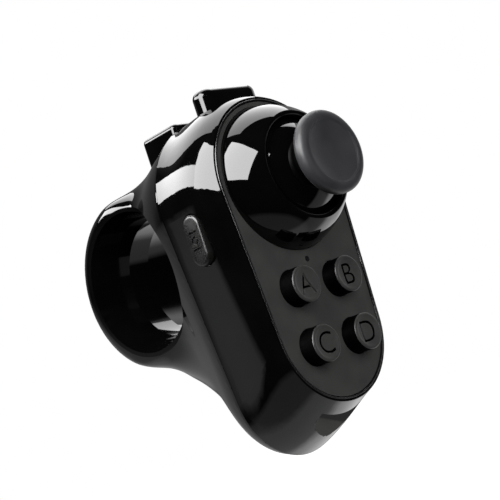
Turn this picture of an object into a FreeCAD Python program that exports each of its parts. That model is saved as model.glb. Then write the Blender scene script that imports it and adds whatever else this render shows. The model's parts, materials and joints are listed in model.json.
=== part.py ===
"""Ring-worn thumbstick controller: every piece of the assembly as a parametric body.

Frame: origin at the centre of the finger bore, +X to the wearer's right along the bore,
+Y away from the control face (towards the palm side of the ring), +Z up the face.
All sizes are in millimetres and live in the sheet named "sizes".
"""
import FreeCAD, Part
import os

import Sketcher

V = FreeCAD.Vector

SIZES = {
    # control face and its outline: a head circle around the stick and a foot circle below
    "face_y": 33.0, "head_z": 8.1, "head_rad": 14.4, "foot_z": 19.9, "foot_rad": 12.6,
    "plate_thick": 1.5, "plate_gap": 0.12, "bezel": 0.9, "shelf_drop": 1.2, "shelf_thick": 1.5,
    # shells
    "seam_y": 18.5, "wall": 1.5, "seam_head_rad": 16.8, "seam_foot_rad": 13.3,
    "seam_foot_z": 26.8, "seam_gap": 0.12,
    # finger ring
    "throat_rad": 11.75, "throat_half": 2.5, "rim_rad": 13.5, "far_rim_rad": 12.7, "ring_half": 10.9,
    "liner_seat": 14.3, "crown_rad": 18.0, "bore_wall": 1.5,
    # thumbstick
    "ball_rad": 10.6, "ball_wall": 1.0, "tail_rad": 0.8, "cap_rad": 7.6, "dish_rad": 5.8, "cap_top": 14.2,
    "cap_thick": 3.4, "dish_deep": 1.1, "stem_rad": 1.5, "dome_base": 13.6, "dome_mouth": 10.1,
    "dome_high": 7.0, "dome_sphere": 13.8, "mouth_in": 9.2,
    # face buttons
    "key_rad": 3.34, "key_high": 3.35, "key_dish": 0.3, "key_pitch_x": 11.2, "key_row_one": 11.9,
    "key_row_two": 22.65, "key_gap": 0.12, "key_flange": 3.95,
    "led_z": 7.3, "led_hole": 0.55,
    # boards
    "board_y": 27.0, "board_thick": 1.2, "switch_side": 5.2, "switch_high": 2.0,
    "plunger_rad": 0.9,
    # triggers and side controls
    "trigger_half": 7.0, "upper_trigger_y": 26.2,
    "upper_trigger_deep": 4.7, "upper_trigger_top": 27.7,
    "upper_trigger_corner": 2.2, "upper_trigger_edge": 1.5, "lower_trigger_corner": 1.2,
    "lower_trigger_edge": 0.9, "lower_trigger_y": 12.65,
    "lower_trigger_deep": 9.9, "lower_trigger_top": 24.9, "lower_trigger_half": 6.2,
    "side_key_y": 25.2, "side_key_z": 1.1,
    "side_key_long": 9.4, "side_key_wide": 4.4,
    # fastenings
    "screw_rad": 0.8, "screw_head": 1.5, "screw_x": 6.2, "screw_z": 25.0, "usb_z": 16.4,
    "boss_rad": 2.1, "boss_long": 6.4, "rear_boss_rad": 2.9, "post_rad": 1.5, "post_bore": 0.72,
    "lug_long": 2.8, "board_hole": 0.85, "board_shank": 0.7, "board_head": 1.3,
    # recess in the foot
    "recess_half": 5.4, "recess_front": 3.4, "recess_roof": 33.0,
}


class Dim:
    """A size that carries both its number and the sheet expression it comes from."""

    def __init__(self, number, text):
        self.number = number
        self.text = text

    def _mix(self, other, sign, swap=False):
        left, right = as_dim(self), as_dim(other)
        if swap:
            left, right = right, left
        text = "(%s %s %s)" % (left.text, sign, right.text)
        number = {
            "+": left.number + right.number,
            "-": left.number - right.number,
            "*": left.number * right.number,
            "/": left.number / right.number if right.number else 0.0,
        }[sign]
        return Dim(number, text)

    def __add__(self, other):
        return self._mix(other, "+")

    def __radd__(self, other):
        return self._mix(other, "+", True)

    def __sub__(self, other):
        return self._mix(other, "-")

    def __rsub__(self, other):
        return self._mix(other, "-", True)

    def __mul__(self, other):
        return self._mix(other, "*")

    def __rmul__(self, other):
        return self._mix(other, "*", True)

    def __truediv__(self, other):
        return self._mix(other, "/")

    def __neg__(self):
        return as_dim(0.0) - self


def as_dim(value):
    return value if isinstance(value, Dim) else Dim(float(value), repr(float(value)))


doc = FreeCAD.newDocument("controller")
sheet = doc.addObject("Spreadsheet::Sheet", "sizes")
for row, (alias, value) in enumerate(SIZES.items(), start=1):
    sheet.set("A%d" % row, alias)
    sheet.set("B%d" % row, str(value))
    sheet.setAlias("B%d" % row, alias)
doc.recompute()


def size(alias):
    return Dim(SIZES[alias], "sizes." + alias)


def bind(obj, prop, value):
    """Tie one property to its sheet expression."""
    obj.setExpression(prop, as_dim(value).text)


AXIS_TURN = {
    "X": FreeCAD.Rotation(V(0, 1, 0), 90),
    "Y": FreeCAD.Rotation(V(1, 0, 0), -90),
    "Z": FreeCAD.Rotation(),
}


def place(obj, base, turn=None):
    """Put an object at a point given as three sizes, turned by a fixed rotation."""
    numbers = [as_dim(value).number for value in base]
    obj.Placement = FreeCAD.Placement(V(*numbers), turn or FreeCAD.Rotation())
    for letter, value in zip("xyz", base):
        bind(obj, "Placement.Base." + letter, value)
    return obj


def box(name, low, extent):
    obj = doc.addObject("Part::Box", name)
    for prop, value in zip(("Length", "Width", "Height"), extent):
        bind(obj, prop, value)
    return place(obj, low)


def slab(name, centre, extent):
    """A box given by its centre."""
    low = [as_dim(c) - as_dim(e) / 2 for c, e in zip(centre, extent)]
    return box(name, low, extent)


def rod(name, radius, length, base, axis):
    """A cylinder that starts at base and runs along +axis."""
    obj = doc.addObject("Part::Cylinder", name)
    bind(obj, "Radius", radius)
    bind(obj, "Height", length)
    return place(obj, base, AXIS_TURN[axis])


def sphere(name, radius, centre):
    obj = doc.addObject("Part::Sphere", name)
    bind(obj, "Radius", radius)
    return place(obj, centre)


def joined(name, *pieces):
    obj = doc.addObject("Part::MultiFuse", name)
    obj.Shapes = list(pieces)
    return obj


def group(name, *pieces):
    """Several separate solids under one name."""
    obj = doc.addObject("Part::Compound", name)
    obj.Links = list(pieces)
    return obj


def cut(name, base, *tools):
    tool = tools[0] if len(tools) == 1 else joined(name + "_tools", *tools)
    obj = doc.addObject("Part::Cut", name)
    obj.Base = base
    obj.Tool = tool
    return obj


def common(name, first, second):
    obj = doc.addObject("Part::Common", name)
    obj.Base = first
    obj.Tool = second
    return obj


def origin_plane(body, role):
    return [item for item in body.Origin.OriginFeatures if item.Role == role][0]


def new_sketch(body, name, role, shift=0.0):
    """A sketch on one of the body's own origin planes, moved along the plane's normal."""
    sketch = body.newObject("Sketcher::SketchObject", name)
    sketch.AttachmentSupport = [(origin_plane(body, role), "")]
    sketch.MapMode = "FlatFace"
    sketch.AttachmentOffset = FreeCAD.Placement(V(0, 0, as_dim(shift).number), FreeCAD.Rotation())
    bind(sketch, "AttachmentOffset.Base.z", shift)
    return sketch


def pin_point(sketch, geometry, point, across, up):
    """Fix one sketch point at a place measured from the sketch origin."""
    for kind, value in (("DistanceX", across), ("DistanceY", up)):
        number = as_dim(value).number
        index = sketch.addConstraint(Sketcher.Constraint(kind, -1, 1, geometry, point, number))
        if isinstance(value, Dim):
            sketch.setExpression("Constraints[%d]" % index, value.text)


def draw_profile(sketch, points):
    """A closed outline through points (across, up[, radius, side]).

    A radius bows the edge that leaves the point: side 1 bows it to the right of the way
    along the outline, side -1 to the left.
    """
    flat = [V(as_dim(p[0]).number, as_dim(p[1]).number, 0) for p in points]
    count = len(points)
    ends = []
    for i, point in enumerate(points):
        start, stop = flat[i], flat[(i + 1) % count]
        if len(point) == 2:
            index = sketch.addGeometry(Part.LineSegment(start, stop), False)
            ends.append((index, 1, 2))
            continue
        radius = as_dim(point[2]).number
        chord = stop - start
        half = chord.Length / 2
        depth = radius - (radius * radius - half * half) ** 0.5
        side = point[3] if len(point) > 3 else 1
        bow = V(chord.y, -chord.x, 0).normalize() * depth * side
        middle = (start + stop) * 0.5 + bow
        arc = Part.Arc(start, middle, stop)
        index = sketch.addGeometry(arc, False)
        first = sketch.getPoint(index, 1)
        order = (1, 2) if (first - start).Length < (first - stop).Length else (2, 1)
        ends.append((index,) + order)
        held = sketch.addConstraint(Sketcher.Constraint("Radius", index, radius))
        if isinstance(point[2], Dim):
            sketch.setExpression("Constraints[%d]" % held, point[2].text)
    for i, point in enumerate(points):
        here, before = ends[i], ends[i - 1]
        sketch.addConstraint(Sketcher.Constraint("Coincident", before[0], before[2], here[0], here[1]))
        pin_point(sketch, here[0], here[1], point[0], point[1])


def turned(name, points, axis="V_Axis", at=(0.0, 0.0, 0.0)):
    """A body of revolution: V_Axis turns about Y, H_Axis about X."""
    body = doc.addObject("PartDesign::Body", name)
    sketch = new_sketch(body, name + "_profile", "XY_Plane")
    draw_profile(sketch, points)
    turn = body.newObject("PartDesign::Revolution", name + "_turn")
    turn.Profile = sketch
    turn.ReferenceAxis = (sketch, [axis])
    turn.Angle = 360.0
    body.Tip = turn
    return place(body, at)


def draw_egg(sketch, head_rad, head_z, foot_rad, foot_z):
    """The face outline: two arcs on the middle line, joined by their outer tangents."""
    values = [as_dim(v).number for v in (head_rad, head_z, foot_rad, foot_z)]
    span = values[1] - values[3]
    lean = (values[0] - values[2]) / span
    rise = (1.0 - lean * lean) ** 0.5
    ends = {}
    for label, radius, height in (("head", values[0], values[1]), ("foot", values[2], values[3])):
        ends[label] = V(radius * rise, height + radius * lean, 0)
    mirror = {label: V(-p.x, p.y, 0) for label, p in ends.items()}
    top, low = V(0, values[1] + values[0], 0), V(0, values[3] - values[2], 0)
    head = sketch.addGeometry(Part.Arc(ends["head"], top, mirror["head"]), False)
    left = sketch.addGeometry(Part.LineSegment(mirror["head"], mirror["foot"]), False)
    foot = sketch.addGeometry(Part.Arc(mirror["foot"], low, ends["foot"]), False)
    right = sketch.addGeometry(Part.LineSegment(ends["foot"], ends["head"]), False)
    for first, first_end, second, second_end in (
            (head, 2, left, 1), (left, 2, foot, 1), (foot, 2, right, 1), (right, 2, head, 1)):
        sketch.addConstraint(
            Sketcher.Constraint("Tangent", first, first_end, second, second_end))
    for arc, radius, height in ((head, head_rad, head_z), (foot, foot_rad, foot_z)):
        sketch.addConstraint(Sketcher.Constraint("PointOnObject", arc, 3, -2))
        for kind, value in (("Radius", radius), ("DistanceY", height)):
            number = as_dim(value).number
            where = (arc,) if kind == "Radius" else (-1, 1, arc, 3)
            index = sketch.addConstraint(Sketcher.Constraint(kind, *where, number))
            if isinstance(value, Dim):
                sketch.setExpression("Constraints[%d]" % index, value.text)


def egg_pad(name, front_y, depth, egg):
    """A plate of the egg outline, from front_y back by depth."""
    body = doc.addObject("PartDesign::Body", name)
    sketch = new_sketch(body, name + "_outline", "XZ_Plane", -as_dim(front_y))
    draw_egg(sketch, *egg)
    pad = body.newObject("PartDesign::Pad", name + "_pad")
    pad.Profile = sketch
    pad.Reversed = True
    bind(pad, "Length", depth)
    body.Tip = pad
    return body


def egg_loft(name, stations):
    """A smooth skin through egg outlines, each given as (y, head_rad, head_z, foot_rad, foot_z)."""
    body = doc.addObject("PartDesign::Body", name)
    sketches = []
    for number, station in enumerate(stations):
        sketch = new_sketch(body, "%s_outline_%d" % (name, number), "XZ_Plane", -as_dim(station[0]))
        draw_egg(sketch, *station[1:])
        sketches.append(sketch)
    loft = body.newObject("PartDesign::AdditiveLoft", name + "_loft")
    loft.Profile = sketches[0]
    loft.Sections = sketches[1:]
    loft.Ruled = False
    loft.Closed = False
    body.Tip = loft
    return body


# --- places that many pieces share -------------------------------------------------------
FACE = -size("face_y")
SEAM = -size("seam_y")
HEAD_Z = size("head_z")
FOOT_Z = -size("foot_z")
WALL = size("wall")
PLATE_BACK = FACE + size("plate_thick")
SHELF_BACK = PLATE_BACK + size("shelf_thick")
BOARD = -size("board_y")
BOARD_BACK = BOARD + size("board_thick")


def face_egg(grow):
    """The control plate's outline, offset outwards by grow."""
    return (size("head_rad") + grow, HEAD_Z, size("foot_rad") + grow, FOOT_Z)


# Stations of the outer skin: y, head radius, head height, foot radius, foot height.
FRONT_SKIN = [
    (FACE, size("head_rad") + size("bezel"), HEAD_Z, size("foot_rad") + size("bezel"), FOOT_Z),
    (FACE + 2.6, size("head_rad") + 2.0, HEAD_Z, size("foot_rad") + 1.3, FOOT_Z - 0.8),
    (FACE + 8.0, size("seam_head_rad") + 0.1, HEAD_Z - 0.2,
     size("seam_foot_rad") + 0.4, 3.1 - size("seam_foot_z")),
    (SEAM, size("seam_head_rad"), HEAD_Z - 0.5, size("seam_foot_rad"), -size("seam_foot_z")),
]
REAR_SKIN = [
    (SEAM + size("seam_gap"), size("seam_head_rad"), HEAD_Z - 0.5, size("seam_foot_rad"),
     -size("seam_foot_z")),
    (SEAM + 3.5, size("seam_head_rad") - 0.8, HEAD_Z - 0.9, size("seam_foot_rad") - 0.9,
     0.7 - size("seam_foot_z")),
    (SEAM + 7.5, size("seam_head_rad") - 2.4, HEAD_Z - 0.9, size("seam_foot_rad") - 2.1,
     6.7 - size("seam_foot_z")),
    (SEAM + 12.5, size("seam_head_rad") - 4.9, HEAD_Z + 0.2, size("seam_foot_rad") - 3.3,
     11.1 - size("seam_foot_z")),
    (SEAM + 17.5, size("seam_head_rad") - 6.8, HEAD_Z + 0.3, size("seam_foot_rad") - 4.1,
     16.6 - size("seam_foot_z")),
]


def shrunk(stations, amount):
    """The same stations with both radii smaller."""
    return [(y, head - amount, hz, foot - amount, fz) for y, head, hz, foot, fz in stations]


# --- front shell: glossy tub around the control plate ------------------------------------
KEY_X = size("key_pitch_x") / 2
KEY_ROWS = (-size("key_row_one"), -size("key_row_two"))
KEYS = [
    ("a", -KEY_X, KEY_ROWS[0]), ("b", KEY_X, KEY_ROWS[0]),
    ("c", -KEY_X, KEY_ROWS[1]), ("d", KEY_X, KEY_ROWS[1]),
]

front_skin = egg_loft("front_skin", FRONT_SKIN)
front_hollow = egg_loft("front_hollow", [
    (SHELF_BACK,) + shrunk(FRONT_SKIN, WALL)[1][1:],
    shrunk(FRONT_SKIN, WALL)[2],
    (SEAM + 1.0,) + shrunk(FRONT_SKIN, WALL)[3][1:],
])
plate_seat = egg_pad("plate_seat", FACE - 1.0, size("plate_thick") + 1.0,
                     face_egg(size("plate_gap")))
shelf_hole = egg_pad("shelf_hole", PLATE_BACK - 0.5, size("shelf_thick") + 1.0,
                     face_egg(-size("shelf_drop")))

# The recess in the foot: a flat front wall and a ramp that runs out at the skin behind it.
RECESS_HALF = size("recess_half")


RAMP_LOW = size("recess_roof") + 10.0
RAMP_DEEP = 9.6
RAMP_KNEE = 5.6
RAMP_FALL = 4.9


def ramp_prism(name, grow):
    """The recess as a three-sided prism along X, grown outwards for its walls."""
    body = doc.addObject("PartDesign::Body", name)
    sketch = new_sketch(body, name + "_profile", "YZ_Plane")
    front = FACE + size("recess_front") - grow
    roof = size("recess_roof") - grow
    draw_profile(sketch, [
        (front, -roof),
        (front, -RAMP_LOW),
        (front + RAMP_DEEP + grow * 2, -RAMP_LOW),
        (front + RAMP_KNEE + grow * 2, -roof - RAMP_FALL),
    ])
    pad = body.newObject("PartDesign::Pad", name + "_pad")
    pad.Profile = sketch
    pad.SideType = 2
    bind(pad, "Length", (RECESS_HALF + grow) * 2)
    body.Tip = pad
    return body


recess = ramp_prism("recess", 0.0)
recess_walls = ramp_prism("recess_walls", 1.1)

SIDE_Y = -size("side_key_y")
SIDE_Z = size("side_key_z")


def racetrack(name, long, wide, low_x, depth, middle):
    """A bar with round ends, long along Z, that runs along +X from low_x."""
    y, z = middle
    half = (as_dim(long) - wide) / 2
    return joined(
        name,
        box(name + "_mid", (low_x, y - as_dim(wide) / 2, z - half), (depth, wide, half * 2)),
        rod(name + "_top", as_dim(wide) / 2, depth, (low_x, y, z + half), "X"),
        rod(name + "_low", as_dim(wide) / 2, depth, (low_x, y, z - half), "X"),
    )


side_slot = racetrack("side_slot", size("side_key_long") + 0.3, size("side_key_wide") + 0.3,
                      -20.0, 8.0, (SIDE_Y, SIDE_Z))
MODE_Y = BOARD_BACK + 1.6
USB_Z = -size("usb_z")
mode_slot = slab("mode_slot", (16.5, MODE_Y, SIDE_Z), (8.0, 2.3, 5.2))
usb_slot = slab("usb_slot", (15.5, MODE_Y, USB_Z), (7.0, 3.3, 8.4))
TRIGGER_HALF = size("trigger_half")
UPPER_Y = -size("upper_trigger_y")
LOWER_Y = -size("lower_trigger_y")
upper_slot = slab("upper_slot", (0.0, UPPER_Y, 23.0),
                  (TRIGGER_HALF * 2 + 0.4, size("upper_trigger_deep") + 0.4, 8.0))

SCREW_SIDES = (("left", -size("screw_x")), ("right", size("screw_x")))
SCREW_Z = -size("screw_z")
BOSS_LONG = size("boss_long")
WEB_THICK = 1.0
WEB_TALL = 12.0
boss_set = []
screw_bores = []
for side, x in SCREW_SIDES:
    boss_set.append(
        rod("front_boss_" + side, size("boss_rad"), BOSS_LONG, (x, SEAM - BOSS_LONG, SCREW_Z), "Y"))
    boss_set.append(
        box("boss_web_" + side, (x - WEB_THICK / 2, SEAM - BOSS_LONG, SCREW_Z - WEB_TALL - 1.2),
            (WEB_THICK, BOSS_LONG - 0.4, WEB_TALL)))
    screw_bores.append(
        rod("front_bore_" + side, size("screw_rad") + 0.02, 5.6, (x, SEAM - 5.2, SCREW_Z), "Y"))

# Posts that carry the board, each tied to the wall by a lug.
POSTS = [(-11.4, 8.2), (11.4, 8.2), (-11.0, -9.5), (11.0, -9.5)]
POST_FOOT = SHELF_BACK - 0.5
LUG_LONG = size("lug_long")
LUG_TALL = 1.2
post_rods = []
post_ways = []
for number, (x, z) in enumerate(POSTS):
    post_rods.append(
        rod("post_%d" % number, size("post_rad"), BOARD - POST_FOOT, (x, POST_FOOT, z), "Y"))
    lug_low = as_dim(x) if x > 0 else x - LUG_LONG
    post_rods.append(box("post_lug_%d" % number, (lug_low, POST_FOOT, z - LUG_TALL / 2),
                         (LUG_LONG, BOARD - POST_FOOT - 0.3, LUG_TALL)))
    post_ways.append(rod("post_way_%d" % number, size("post_bore"), 5.0, (x, BOARD - 2.85, z), "Y"))

front_tub = cut("front_tub", front_skin, front_hollow, plate_seat, shelf_hole)
front_bosses = common("front_bosses",
                      joined("boss_set", *boss_set, recess_walls),
                      front_skin)
front_shell = cut("front_shell", joined("front_tub_bossed", front_tub, front_bosses, *post_rods),
                  recess, side_slot, mode_slot, usb_slot, upper_slot,
                  *screw_bores, *post_ways)

# --- rear shell: tail of the body and the finger ring -------------------------------------
rear_skin = egg_loft("rear_skin", REAR_SKIN)
rear_hollow = egg_loft("rear_hollow", [
    (SEAM - 1.0,) + shrunk(REAR_SKIN, WALL)[0][1:],
    shrunk(REAR_SKIN, WALL)[1],
    shrunk(REAR_SKIN, WALL)[2],
    shrunk(REAR_SKIN, WALL)[3],
])
CROWN = size("crown_rad")
RING_HALF = size("ring_half")
BARREL_EDGE = CROWN - 2.6
BARREL_TOP = CROWN - 1.2
BARREL_ROUND = 1.6
ring_barrel = turned("ring_barrel", [
    (-RING_HALF, size("liner_seat")),
    (RING_HALF, size("liner_seat")),
    (RING_HALF, BARREL_EDGE, BARREL_ROUND),
    (RING_HALF - 1.3, BARREL_TOP, 30.0),
    (1.3 - RING_HALF, BARREL_TOP, BARREL_ROUND),
    (-RING_HALF, BARREL_EDGE),
], axis="H_Axis")
bore_keep = rod("bore_keep", size("liner_seat") + size("bore_wall"), 44.0, (-22.0, 0.0, 0.0), "X")
bore_cut = rod("bore_cut", size("liner_seat"), 44.0, (-22.0, 0.0, 0.0), "X")
rear_space = cut("rear_space", rear_hollow, bore_keep)
rear_tail = cut("rear_tail", joined("rear_solid", rear_skin, ring_barrel), rear_space)
screw_heads = []
screw_ways = []
rear_bosses = []
for side, x in SCREW_SIDES:
    screw_heads.append(
        rod("head_seat_" + side, size("screw_head") + 0.25, 12.0, (x, SEAM + 2.4, SCREW_Z), "Y"))
    screw_ways.append(
        rod("screw_way_" + side, size("screw_rad") + 0.15, 8.0, (x, SEAM - 2.0, SCREW_Z), "Y"))
    rear_bosses.append(
        rod("rear_boss_" + side, size("rear_boss_rad"), 13.0, (x, SEAM + size("seam_gap"), SCREW_Z), "Y"))
rear_boss = common("rear_boss", joined("rear_boss_set", *rear_bosses), rear_skin)
LOWER_HALF = size("lower_trigger_half")
lower_slot = slab("lower_slot", (0.0, LOWER_Y, 21.25),
                  (LOWER_HALF * 2 + 0.4, size("lower_trigger_deep") + 0.4, 10.5))
rear_tub = joined("rear_tub", rear_tail, rear_boss)
rear_shell = cut("rear_shell", rear_tub, bore_cut, lower_slot, *screw_heads, *screw_ways)

# --- liner: glossy sleeve that the finger touches ------------------------------------------
THROAT = size("throat_rad")
SEAT = size("liner_seat")
ring_liner = turned("ring_liner", [
    (-RING_HALF, SEAT - 0.02),
    (-RING_HALF, size("rim_rad")),
    (-size("throat_half"), THROAT),
    (size("throat_half"), THROAT),
    (RING_HALF, size("far_rim_rad")),
    (RING_HALF, SEAT - 0.02),
], axis="H_Axis")

# --- control plate -------------------------------------------------------------------------
plate_blank = egg_pad("plate_blank", FACE, size("plate_thick"), face_egg(0.0))
plate_holes = [rod("dome_hole", size("dome_base") + 0.06, 4.0, (0.0, FACE - 1.0, HEAD_Z), "Y"),
               rod("led_hole", size("led_hole"), 4.0, (0.0, FACE - 1.0, -size("led_z")), "Y")]
for letter, x, z in KEYS:
    plate_holes.append(
        rod("key_hole_" + letter, size("key_rad") + size("key_gap"), 4.0, (x, FACE - 1.0, z), "Y"))
face_plate = cut("face_plate", plate_blank, *plate_holes)

# --- dome around the thumbstick ------------------------------------------------------------
DOME_BASE = size("dome_base")
stick_dome = turned("stick_dome", [
    (DOME_BASE, size("plate_thick")),
    (DOME_BASE, 0.0, size("dome_sphere"), -1),
    (size("dome_mouth"), -size("dome_high"), 0.6, -1),
    (size("mouth_in"), -size("dome_high") + 0.15),
    (size("mouth_in") - 0.25, 0.9 - size("dome_high"), size("dome_sphere") - 1.2, 1),
    (DOME_BASE - 1.3, 0.0),
    (DOME_BASE - 1.3, 2.3),
    (DOME_BASE - 0.55, 2.3),
    (DOME_BASE - 0.55, size("plate_thick")),
], at=(0.0, FACE, HEAD_Z))

# --- thumbstick: cap, ball cover and stem turn together about the gimbal centre ------------
BALL = size("ball_rad")
BALL_IN = BALL - size("ball_wall")
CAP_TOP = -size("cap_top")
CAP_BACK = CAP_TOP + size("cap_thick")
DISH_SIDE = -1
NECK_RAD = 2.7
NECK_SINK = 0.75
stick_cap = turned("stick_cap", [
    (0.0, CAP_TOP + size("dish_deep"), 20.0, DISH_SIDE),
    (size("dish_rad") - 0.2, CAP_TOP + 0.35),
    (size("dish_rad") + 0.15, CAP_TOP + 0.02, 1.3),
    (size("cap_rad"), CAP_TOP + 1.5, 1.8),
    (size("cap_rad") - 2.0, CAP_BACK - 0.1),
    (3.2, CAP_BACK + 0.35),
    (NECK_RAD, CAP_BACK + 0.45),
    (NECK_RAD, -BALL + NECK_SINK),
    (size("stem_rad"), -BALL + NECK_SINK),
    (size("stem_rad"), CAP_TOP + 2.2),
    (0.0, CAP_TOP + 2.2),
], at=(0.0, FACE, HEAD_Z))


# The ball cover is a thin dome about the gimbal centre, open at the back.
PIVOT = (0.0, FACE, HEAD_Z)
stick_ball = cut(
    "stick_ball", sphere("ball_outside", BALL, PIVOT), sphere("ball_inside", BALL_IN, PIVOT),
    box("ball_open", (-12.0, FACE - 2.0, HEAD_Z - 12.0), (24.0, 14.0, 24.0)),
    rod("neck_seat", NECK_RAD + 0.02, 3.0, (0.0, FACE - BALL + NECK_SINK - 3.0, HEAD_Z), "Y"),
    rod("stem_way", size("stem_rad") + 0.01, 4.0, (0.0, FACE - BALL - 1.0, HEAD_Z), "Y"))

# The stem is one turned post: thick in the cap and the gimbal, thin at its tail.
stick_stem = cut(
    "stick_stem",
    turned("stem_post", [
        (0.0, CAP_TOP + 2.24),
        (size("stem_rad") - 0.02, CAP_TOP + 2.24),
        (size("stem_rad") - 0.02, 1.2),
        (size("tail_rad"), 1.8),
        (size("tail_rad"), 4.5),
        (0.0, 4.5),
    ], at=(0.0, FACE, HEAD_Z)),
    rod("stem_pin_way", 0.61, 8.0, (0.0, FACE, HEAD_Z - 4.0), "Z"))
stick_pin = rod("stick_pin", 0.6, 5.4, (0.0, FACE, HEAD_Z - 2.7), "Z")

# Yoke: rocks up and down about X and carries the stem's cross pin.
AXLE_RAD = 0.9
AXLE_FIT = 0.05
yoke_frame = slab("yoke_frame", PIVOT, (8.2, 2.2, 6.0))
yoke_axles = rod("yoke_axles", AXLE_RAD, 14.2, (-6.3, FACE, HEAD_Z), "X")
gimbal_yoke = cut(
    "gimbal_yoke", joined("yoke_block", yoke_frame, yoke_axles),
    slab("yoke_window", PIVOT, (5.2, 4.0, 3.7)),
    rod("yoke_pin_way", 0.66, 8.0, (0.0, FACE, HEAD_Z - 4.0), "Z"))

# Slotted rocker: swings left and right about Z and reads the stem's tail.
ROCKER_BACK = 4.6
rocker_top = box("rocker_top", (-1.9, FACE - 1.3, HEAD_Z + 4.0), (3.8, ROCKER_BACK + 1.3, 0.9))
rocker_low = box("rocker_low", (-1.9, FACE - 1.3, HEAD_Z - 4.9), (3.8, ROCKER_BACK + 1.3, 0.9))
rocker_web = box("rocker_web", (-1.9, FACE + ROCKER_BACK - 1.1, HEAD_Z - 4.9), (3.8, 1.1, 9.8))
rocker_axle_top = rod("rocker_axle_top", AXLE_RAD, 3.0, (0.0, FACE, HEAD_Z + 4.8), "Z")
rocker_axle_low = rod("rocker_axle_low", AXLE_RAD, 1.5, (0.0, FACE, HEAD_Z - 6.3), "Z")
slot_rocker = cut(
    "slot_rocker",
    joined("rocker_frame", rocker_top, rocker_low, rocker_web, rocker_axle_top, rocker_axle_low),
    box("rocker_slot", (-0.95, FACE + 2.6, HEAD_Z - 3.4), (1.9, 3.0, 6.8)))

# Housing: an open square frame around the gimbal, standing on the board.
HOUSING_HALF = 6.0
housing_block = box("housing_block", (-HOUSING_HALF, FACE - 2.4, HEAD_Z - HOUSING_HALF),
                    (HOUSING_HALF * 2, BOARD - FACE + 2.4, HOUSING_HALF * 2))
housing_room = box("housing_room", (0.7 - HOUSING_HALF, FACE - 3.0, HEAD_Z + 0.7 - HOUSING_HALF),
                   (HOUSING_HALF * 2 - 1.4, BOARD - FACE + 2.4, HOUSING_HALF * 2 - 1.4))
joystick_housing = cut(
    "joystick_housing", housing_block, housing_room,
    rod("housing_axle_way", AXLE_RAD + AXLE_FIT, 16.0, (-8.0, FACE, HEAD_Z), "X"),
    rod("housing_rocker_way", AXLE_RAD + AXLE_FIT, 16.0, (0.0, FACE, HEAD_Z - 8.0), "Z"))
tilt_sensor_side = cut(
    "tilt_sensor_side",
    box("sensor_side_block", (HOUSING_HALF, FACE - 1.8, HEAD_Z - 3.0), (1.9, 6.0, 6.0)),
    rod("sensor_side_way", AXLE_RAD + AXLE_FIT, 6.0, (4.0, FACE, HEAD_Z), "X"))
tilt_sensor_top = cut(
    "tilt_sensor_top",
    box("sensor_top_block", (-3.0, FACE - 1.8, HEAD_Z + HOUSING_HALF), (6.0, 6.0, 1.9)),
    rod("sensor_top_way", AXLE_RAD + AXLE_FIT, 6.0, (0.0, FACE, HEAD_Z + 4.0), "Z"))

# --- face buttons: dished tops, flanges behind the plate, plungers in tact switches ---------
KEY_TOP = -size("key_high")
KEY_BACK = size("plate_thick") + 0.85
SWITCH_FRONT = BOARD - size("switch_high")
buttons = []
plungers = []
switch_cans = []
for letter, x, z in KEYS:
    buttons.append(turned("button_" + letter, [
        (0.0, KEY_TOP + size("key_dish"), 14.0, DISH_SIDE),
        (size("key_rad") - 0.62, KEY_TOP + 0.06),
        (size("key_rad") - 0.5, KEY_TOP),
        (size("key_rad") - 0.26, KEY_TOP, 0.28),
        (size("key_rad"), KEY_TOP + 0.26),
        (size("key_rad"), size("plate_thick") + 0.05),
        (size("key_flange"), size("plate_thick") + 0.05),
        (size("key_flange"), KEY_BACK),
        (0.0, KEY_BACK),
    ], at=(x, FACE, z)))
    plungers.append(rod("plunger_" + letter, size("plunger_rad"), 2.6,
                        (x, FACE + KEY_BACK + 0.01, z), "Y"))
    can = slab("switch_can_" + letter, (x, BOARD - size("switch_high") / 2, z),
               (size("switch_side"), size("switch_high"), size("switch_side")))
    well = rod("switch_well_" + letter, size("plunger_rad") + 0.05, 3.0,
               (x, SWITCH_FRONT - 1.05, z), "Y")
    switch_cans.append(cut("key_switch_" + letter, can, well))
key_switches = group("key_switches", *switch_cans)

# --- main board and what sits on it ---------------------------------------------------------
board_blank = egg_pad("board_blank", BOARD, size("board_thick"), (13.0, 5.0, 11.0, -18.3))
board_screw_rods = []
board_ways = []
for number, (x, z) in enumerate(POSTS):
    shank = rod("board_shank_%d" % number, size("board_shank"), 4.0, (x, BOARD - 2.8, z), "Y")
    head = rod("board_head_%d" % number, size("board_head"), 0.8, (x, BOARD_BACK, z), "Y")
    drive = slab("board_drive_%d" % number, (x, BOARD_BACK + 0.7, z), (1.6, 0.6, 0.35))
    drive_two = slab("board_drive_two_%d" % number, (x, BOARD_BACK + 0.7, z), (0.35, 0.6, 1.6))
    board_screw_rods.append(cut("board_screw_%d" % number,
                                joined("board_screw_body_%d" % number, shank, head),
                                drive, drive_two))
    board_ways.append(rod("board_way_%d" % number, size("board_hole"), 3.0, (x, BOARD - 1.0, z), "Y"))
board_screws = group("board_screws", *board_screw_rods)
main_board = cut("main_board", board_blank, *board_ways)

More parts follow.
